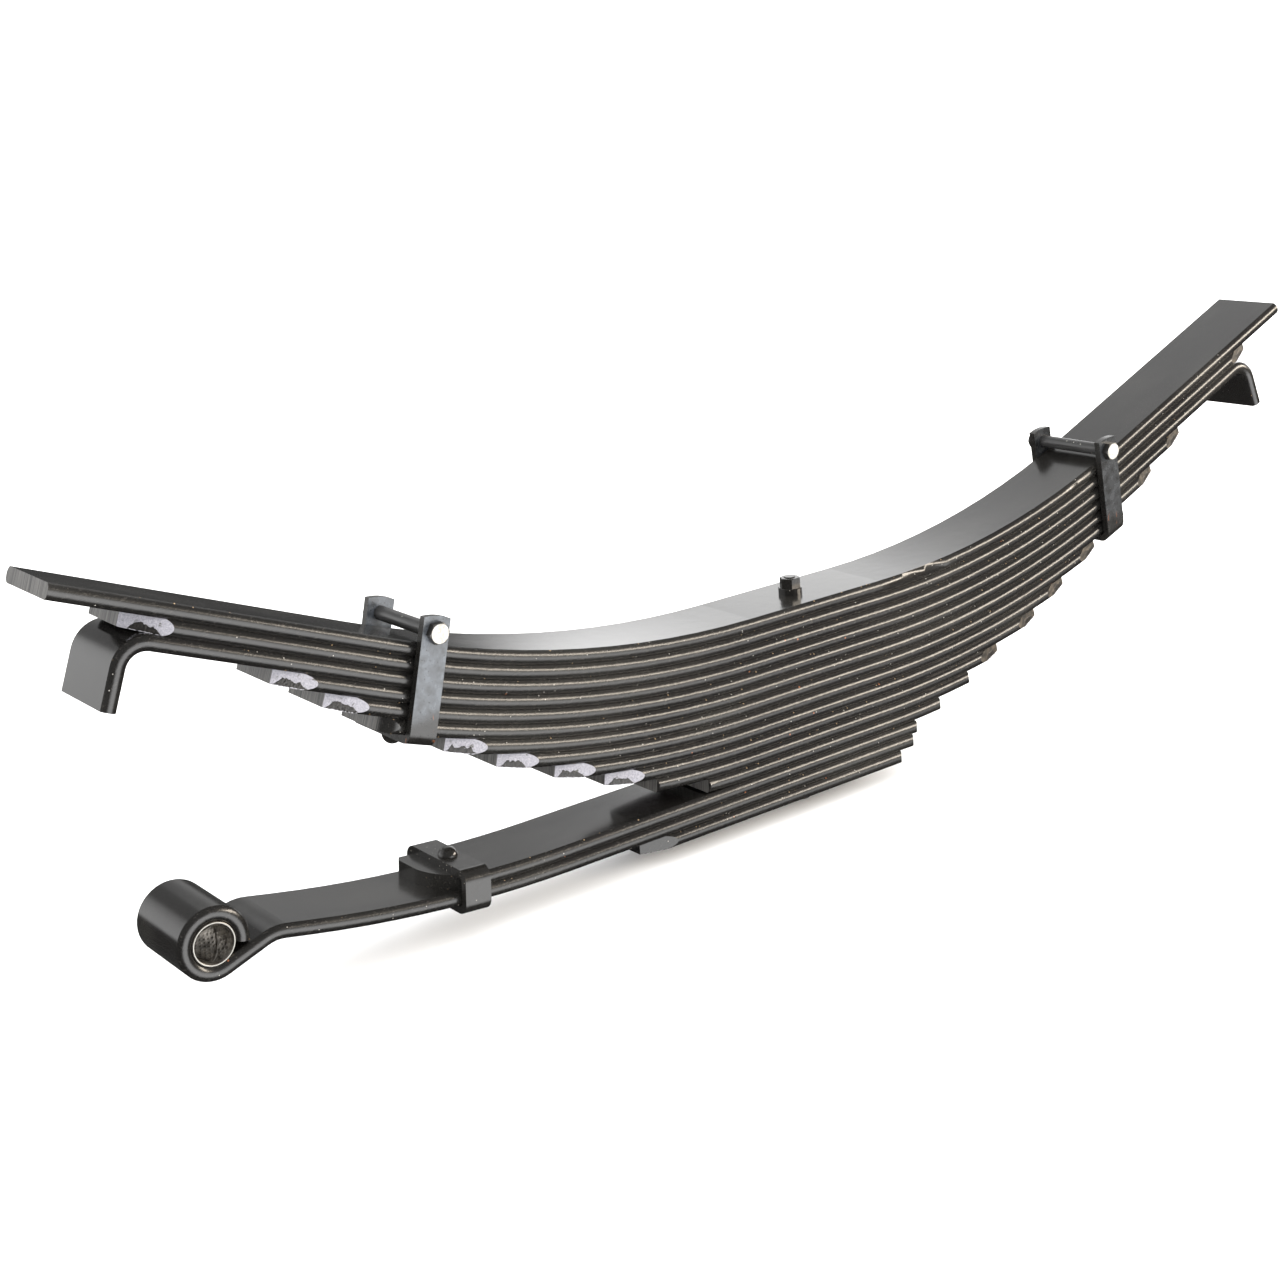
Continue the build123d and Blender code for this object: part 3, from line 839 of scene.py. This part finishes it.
def add_tear(mesh_data, corner, size, chance):
    """The broken lower part of the cut: a thin crust of ragged steel over the low half of the flat."""
    columns = 44
    rows = 9
    rim_sink = 0.08 * MM
    shift = Vector((chance.uniform(0, 50), chance.uniform(0, 50), chance.uniform(0, 50)))
    first_run = corner.length * chance.uniform(0.0, 0.2)
    last_run = corner.length * chance.uniform(0.66, 0.84)
    grid = []
    for i in range(columns + 1):
        part = i / columns
        run = first_run + (last_run - first_run) * part
        low = corner.height(corner.low, run)
        high = corner.height(corner.high, run)
        ragged = noise.noise(Vector((run / (3.0 * MM), 0, 0)) + shift)
        fine = noise.noise(Vector((run / (0.9 * MM), 7, 0)) + shift)
        share = (0.46 + 0.22 * ragged + 0.07 * fine) * min(1.0, 5 * part + 0.1, 4 * (1 - part) + 0.05)
        line = []
        for j in range(rows + 1):
            height = low + (high - low) * max(share, 0.03) * j / rows
            at_rim = i in (0, columns) or j in (0, rows)
            rough = noise.fractal(Vector((run / (1.4 * MM), height / MM, 3)) + shift, 0.9, 2.0, 3)
            proud = -rim_sink if at_rim else size * (0.22 + 0.3 * rough)
            line.append(mesh_data.verts.new(corner.place(run, height, proud)))
        grid.append(line)
    for first, second in zip(grid, grid[1:]):
        for j in range(rows):
            mesh_data.faces.new((first[j], second[j], second[j + 1], first[j + 1]))
    bmesh.ops.recalc_face_normals(mesh_data, faces=mesh_data.faces[:])


class SPRING_OT_clips(Operator):
    """Paint the two rebound clips, their bolts and tubes, and the radius clip"""

    bl_idname = "spring.clips"
    bl_label = "Clips"

    def execute(self, context):
        settings = context.scene.enamel
        gloss = gloss_enamel("Rivet steel, headed, gloss black enamel", settings, 0.2)
        head = bare_head("Bolt steel, forged, face rubbed bare", settings)
        tube = tube_enamel("Tube steel, drawn, satin black enamel", settings)
        # The left clip's strap gets the full pale rub and painted reflection, the right clip's a quarter of
        # it; both are darker towards the bottom.
        for side, sheen_and_rub in (("left", 1.0), ("right", 0.25)):
            low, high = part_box(f"{side}_clip_strap")
            dark_below = low[2] + 0.18 * (high[2] - low[2])
            pale_above = low[2] + 0.34 * (high[2] - low[2])
            title = f"Strap steel, hot bent, {side} clip enamel"
            strap = strap_enamel(title, settings, sheen_and_rub, dark_below, pale_above)
            finish_node(f"{side}_clip_strap", strap)
            finish_node(f"{side}_clip_bolt", head)
            finish_node(f"{side}_clip_nut", gloss)
            finish_node(f"{side}_clip_rivet", gloss)
            finish_node(f"{side}_clip_spacer_tube", tube)
        finish_node("radius_clip_band", gloss)
        finish_node("radius_clip_rivet", gloss)
        return {"FINISHED"}


class SPRING_OT_centre(Operator):
    """Paint the centre bolt, its washer and nut"""

    bl_idname = "spring.centre"
    bl_label = "Centre bolt"

    def execute(self, context):
        settings = context.scene.enamel
        gloss = gloss_enamel("Bolt steel, forged, semi-gloss black enamel", settings, 0.16)
        for name in ("centre_bolt", "centre_washer", "centre_nut"):
            finish_node(name, gloss)
        return {"FINISHED"}


class SPRING_OT_bush(Operator):
    """Line the eye with a rolled bush that has grease dimples and crossed grooves"""

    bl_idname = "spring.bush"
    bl_label = "Eye bush"

    def execute(self, context):
        settings = context.scene.bush
        low, high = (Vector(corner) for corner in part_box("eye_bushing"))
        centre = (low + high) / 2
        outer = (high.x - low.x) / 2
        half = (high.y - low.y) / 2
        wall = 1.575 * MM
        bore = outer - wall
        rim = 0.3 * MM
        inner_rim_ease = 0.35 * MM
        outer_rim_ease = 0.25 * MM
        plain_end = 0.7 * MM
        steps = 240
        lining_rows = 90
        rows = [-half, -half + rim, -half + plain_end]
        for i in range(lining_rows):
            rows.append(-half + plain_end + (2 * half - 2 * plain_end) * (i + 1) / lining_rows)
        rows += [half - rim, half]
        body = bmesh.new()
        rings = []
        for index, y in enumerate(rows):
            ease = inner_rim_ease if index in (0, len(rows) - 1) else 0.0
            angles = [tau * step / steps for step in range(steps)]
            radii = [bore + ease + lining_depth(angle, y, bore, half, settings) for angle in angles]
            rings.append(add_ring(body, centre, y, radii))
        rings.append(add_ring(body, centre, half, [outer - outer_rim_ease] * steps))
        rings.append(add_ring(body, centre, half - rim, [outer] * steps))
        rings.append(add_ring(body, centre, -half + rim, [outer] * steps))
        rings.append(add_ring(body, centre, -half, [outer - outer_rim_ease] * steps))
        for first, second in zip(rings, rings[1:] + rings[:1]):
            for step in range(steps):
                after = (step + 1) % steps
                body.faces.new((first[step], first[after], second[after], second[step]))
        bmesh.ops.recalc_face_normals(body, faces=body.faces[:])
        material = bush_steel("Bush, steel-backed, rolled and dimpled")
        piece = new_piece("eye_bush_lining", body, material, PACK)
        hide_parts("eye_bushing")
        return {"FINISHED"}


def add_ring(body, centre, y, radii):
    """A closed ring of points round the bush's axis, one at each radius."""
    ring = []
    for step, radius in enumerate(radii):
        angle = tau * step / len(radii)
        x, z = radius * cos(angle), radius * sin(angle)
        ring.append(body.verts.new((centre.x + x, centre.y + y, centre.z + z)))
    return ring


def lining_depth(angle, y, bore, half, settings):
    """How far the lining is pressed in at a point of the bore: round dimples and two crossed grooves."""
    around = angle * bore
    girth = tau * bore
    pitch = settings.dimple_size * 2.1
    pitch_round = girth / round(girth / pitch)
    row = round(y / pitch)
    shift = 0.5 * pitch_round if row % 2 else 0.0
    column = round((around - shift) / pitch_round)
    away = ((around - shift - column * pitch_round) ** 2 + (y - row * pitch) ** 2) ** 0.5
    depth = 0.0
    reach = settings.dimple_size / 2
    if away < reach and abs(y) < half - 4 * MM:
        depth = settings.dimple_depth * (1 - (away / reach) ** 2)
    groove_half = 1.8 * MM
    groove_swing = 2 * (half - 8 * MM)
    run = (angle / pi) % 2 - 1
    for lean in (1, -1):
        line = lean * run * groove_swing
        for turn in (-1, 0, 1):
            gap = abs(y - line - turn * groove_swing)
            if gap < groove_half and abs(y) < half - 6 * MM:
                depth = max(depth, settings.groove_depth * (1 - (gap / groove_half) ** 2))
    return depth


class SPRING_OT_studio(Operator):
    """Set the floor, the soft lights and the camera"""

    bl_idname = "spring.studio"
    bl_label = "Studio"

    def execute(self, context):
        settings = context.scene.studio
        scene = context.scene
        scene.view_settings.view_transform = "Standard"
        lowest = CAD_BOX[0][2]
        floor_reach = 400
        floor_gap = 0.5 * MM
        floor_mesh = bmesh.new()
        bmesh.ops.create_grid(floor_mesh, x_segments=4, y_segments=4, size=floor_reach)
        mesh = bpy.data.meshes.new("floor")
        floor_mesh.to_mesh(mesh)
        floor_mesh.free()
        floor = bpy.data.objects.new("floor", mesh)
        scene.collection.objects.link(floor)
        floor.location.z = lowest - floor_gap
        floor.data.materials.append(floor_vinyl("Vinyl, rolled, matt", settings.floor_tint))
        floor.visible_glossy = False
        soft_dome(scene, settings)
        overhead = bpy.data.lights.new("overhead fill", "SUN")
        overhead.angle = radians(170)
        overhead.energy = settings.overhead
        place_light(overhead, Vector((0, 0, 5)), Vector((0, 0, 0)), seen_in_gloss=False)
        box = bpy.data.lights.new("front soft box", "AREA")
        box.shape = "RECTANGLE"
        box.size = 2.2
        box.size_y = 0.7
        box.energy = settings.front_box
        box.color = linear(0xFFF2E0)
        place_light(box, Vector((2.5, -1.9, 0.95)), Vector((0, 0, 0.15)), seen_in_gloss=True)
        place_camera(scene, settings)
        return {"FINISHED"}


def place_light(light, spot, target, seen_in_gloss):
    """Hangs a light at a spot, turned to a target."""
    lamp = bpy.data.objects.new(light.name, light)
    bpy.context.scene.collection.objects.link(lamp)
    lamp.location = spot
    lamp.rotation_euler = (target - spot).to_track_quat("-Z", "Y").to_euler()
    lamp.visible_glossy = seen_in_gloss


def soft_dome(scene, settings):
    """A dark studio with white walls behind to the right and left, and a lit table in front."""
    world = bpy.data.worlds.new("studio")
    scene.world = world
    world.use_nodes = True
    tree = world.node_tree
    tree.nodes.clear()
    way = add_node(tree, "ShaderNodeTexCoord").outputs["Generated"]
    x, y, z = add_node(tree, "ShaderNodeSeparateXYZ", None, {0: way}).outputs
    behind = add_node(tree, "ShaderNodeMapRange", SMOOTH, {
        "Value": y,
        "From Min": -0.1,
        "From Max": 0.15,
    }).outputs[0]
    swing = add_node(tree, "ShaderNodeMath", SUBTRACT, {
        0: add_node(tree, "ShaderNodeMath", MULTIPLY, {0: x, 1: 0.8}).outputs[0],
        1: add_node(tree, "ShaderNodeMath", MULTIPLY, {0: y, 1: 0.6}).outputs[0],
    }).outputs[0]
    swing = add_node(tree, "ShaderNodeMath", ADD, {
        0: swing,
        1: add_node(tree, "ShaderNodeMath", MULTIPLY, {
            0: add_node(tree, "ShaderNodeMapRange", SMOOTH, {
                "Value": z,
                "From Min": 0.35,
                "From Max": 0.55,
            }).outputs[0],
            1: 0.4,
        }).outputs[0],
    }).outputs[0]
    right_wall = add_node(tree, "ShaderNodeMath", MULTIPLY, {
        0: add_node(tree, "ShaderNodeMapRange", SMOOTH, {
            "Value": swing,
            "From Min": -0.05,
            "From Max": 0.03,
        }).outputs[0],
        1: behind,
    }).outputs[0]
    left_wall = add_node(tree, "ShaderNodeMath", MULTIPLY, {
        0: add_node(tree, "ShaderNodeMapRange", SMOOTH, {
            "Value": x,
            "From Min": -0.15,
            "From Max": -0.35,
        }).outputs[0],
        1: behind,
    }).outputs[0]
    haze = add_node(tree, "ShaderNodeMath", MULTIPLY, {
        0: add_node(tree, "ShaderNodeMath", MULTIPLY, {
            0: add_node(tree, "ShaderNodeMapRange", SMOOTH, {
                "Value": z,
                "From Min": 0.02,
                "From Max": 0.2,
            }).outputs[0],
            1: behind,
        }).outputs[0],
        1: 0.25,
    }).outputs[0]
    walls = add_node(tree, "ShaderNodeMath", MAXIMUM, {
        0: right_wall,
        1: add_node(tree, "ShaderNodeMath", MAXIMUM, {
            0: haze,
            1: add_node(tree, "ShaderNodeMath", MULTIPLY, {0: left_wall, 1: 0.75}).outputs[0],
        }).outputs[0],
    }).outputs[0]
    rise = add_node(tree, "ShaderNodeValToRGB", None, {
        0: add_node(tree, "ShaderNodeMath", ADD, {
            0: add_node(tree, "ShaderNodeMath", MULTIPLY, {0: z, 1: 0.5}).outputs[0],
            1: 0.5,
        }).outputs[0],
    })
    # How bright the walls are at each height, from just below level to overhead.
    levels = [(-0.07, 0.0), (0.01, 1.0), (0.26, 0.95), (0.48, 0.5), (0.7, 0.45), (0.92, 0.04)]
    stops = rise.color_ramp.elements
    stops[0].position = levels[0][0] / 2 + 0.5
    stops[1].position = levels[-1][0] / 2 + 0.5
    for height, _ in levels[1:-1]:
        stops.new(height / 2 + 0.5)
    for stop, (_, level) in zip(stops, levels):
        stop.color = (level, level, level, 1)
    glow = add_node(tree, "ShaderNodeMath", MULTIPLY, {
        0: add_node(tree, "ShaderNodeMath", MULTIPLY, {0: walls, 1: rise.outputs[0]}).outputs[0],
        1: settings.back_glow,
    }).outputs[0]
    toward = Vector((0.2, -0.92, -0.33)).normalized()
    facing = add_node(tree, "ShaderNodeVectorMath", {"operation": "DOT_PRODUCT"}, {
        0: way,
        1: tuple(toward),
    })
    table = add_node(tree, "ShaderNodeMath", MULTIPLY, {
        0: add_node(tree, "ShaderNodeMapRange", SMOOTH, {
            "Value": facing.outputs["Value"],
            "From Min": 0.8,
            "From Max": 0.97,
        }).outputs[0],
        1: settings.table_glow,
    }).outputs[0]
    ceiling = add_node(tree, "ShaderNodeMath", MULTIPLY, {
        0: add_node(tree, "ShaderNodeMapRange", SMOOTH, {
            "Value": z,
            "From Min": 0.0,
            "From Max": 0.2,
        }).outputs[0],
        1: 0.16,
    }).outputs[0]
    total = add_node(tree, "ShaderNodeMath", ADD, {
        0: add_node(tree, "ShaderNodeMath", MAXIMUM, {
            0: add_node(tree, "ShaderNodeMath", ADD, {0: glow, 1: table}).outputs[0],
            1: ceiling,
        }).outputs[0],
        1: 0.06,
    }).outputs[0]
    seen = add_node(tree, "ShaderNodeLightPath").outputs["Is Camera Ray"]
    strength = add_node(tree, "ShaderNodeMath", MAXIMUM, {
        0: total,
        1: add_node(tree, "ShaderNodeMath", MULTIPLY, {0: seen, 1: 1.1}).outputs[0],
    }).outputs[0]
    room = add_node(tree, "ShaderNodeBackground", None, {"Color": linear(0xFFFFFF), "Strength": strength})
    add_node(tree, "ShaderNodeOutputWorld", None, {"Surface": room.outputs[0]})


def place_camera(scene, settings):
    """Sets the camera to the left of the spring, in front of it and above it."""
    yaw, pitch, roll = radians(36.289), radians(16.912), radians(-4.264)
    ahead = Vector((sin(yaw) * cos(pitch), cos(yaw) * cos(pitch), -sin(pitch)))
    right = Vector((cos(yaw), -sin(yaw), 0))
    over = right.cross(ahead)
    rolled_right = right * cos(roll) + over * sin(roll)
    rolled_over = over * cos(roll) - right * sin(roll)
    place = Matrix((rolled_right, rolled_over, -ahead)).transposed().to_4x4()
    place.translation = Vector((-1154.7, -1337.8, 684.6)) * MM
    camera_data = bpy.data.cameras.new("camera")
    camera_data.sensor_width = 36
    camera_data.lens = settings.lens
    camera_data.clip_start = 0.01
    camera_data.clip_end = 1000
    camera = bpy.data.objects.new("camera", camera_data)
    scene.collection.objects.link(camera)
    camera.matrix_world = place
    scene.camera = camera


class SPRING_PT_panel(Panel):
    """Lists the steps in the sidebar"""

    bl_idname = "SPRING_PT_panel"
    bl_label = "Leaf Spring"
    bl_space_type = "VIEW_3D"
    bl_region_type = "UI"
    bl_category = "Leaf Spring"

    def draw(self, context):
        column = self.layout.column()
        for step in STEPS:
            column.operator(step.bl_idname)
        for group in GROUPS:
            settings = getattr(context.scene, group)
            for name in settings.bl_rna.properties.keys():
                if name not in ("rna_type", "name"):
                    column.prop(settings, name)


GROUPS = {"enamel": EnamelSettings, "bush": BushSettings, "burrs": BurrSettings, "studio": StudioSettings}
STEPS = (
    SPRING_OT_leaves,
    SPRING_OT_burrs,
    SPRING_OT_clips,
    SPRING_OT_centre,
    SPRING_OT_bush,
    SPRING_OT_studio,
)


def register():
    for kind in (*GROUPS.values(), *STEPS, SPRING_PT_panel):
        bpy.utils.register_class(kind)
    for name, kind in GROUPS.items():
        setattr(bpy.types.Scene, name, PointerProperty(type=kind))


def unregister():
    for name in GROUPS:
        delattr(bpy.types.Scene, name)
    for kind in (SPRING_PT_panel, *reversed(STEPS), *reversed(tuple(GROUPS.values()))):
        bpy.utils.unregister_class(kind)


def main():
    register()
    for step in (
        bpy.ops.spring.leaves,
        bpy.ops.spring.burrs,
        bpy.ops.spring.clips,
        bpy.ops.spring.centre,
        bpy.ops.spring.bush,
        bpy.ops.spring.studio,
    ):
        step()


if __name__ == "__main__":
    main()
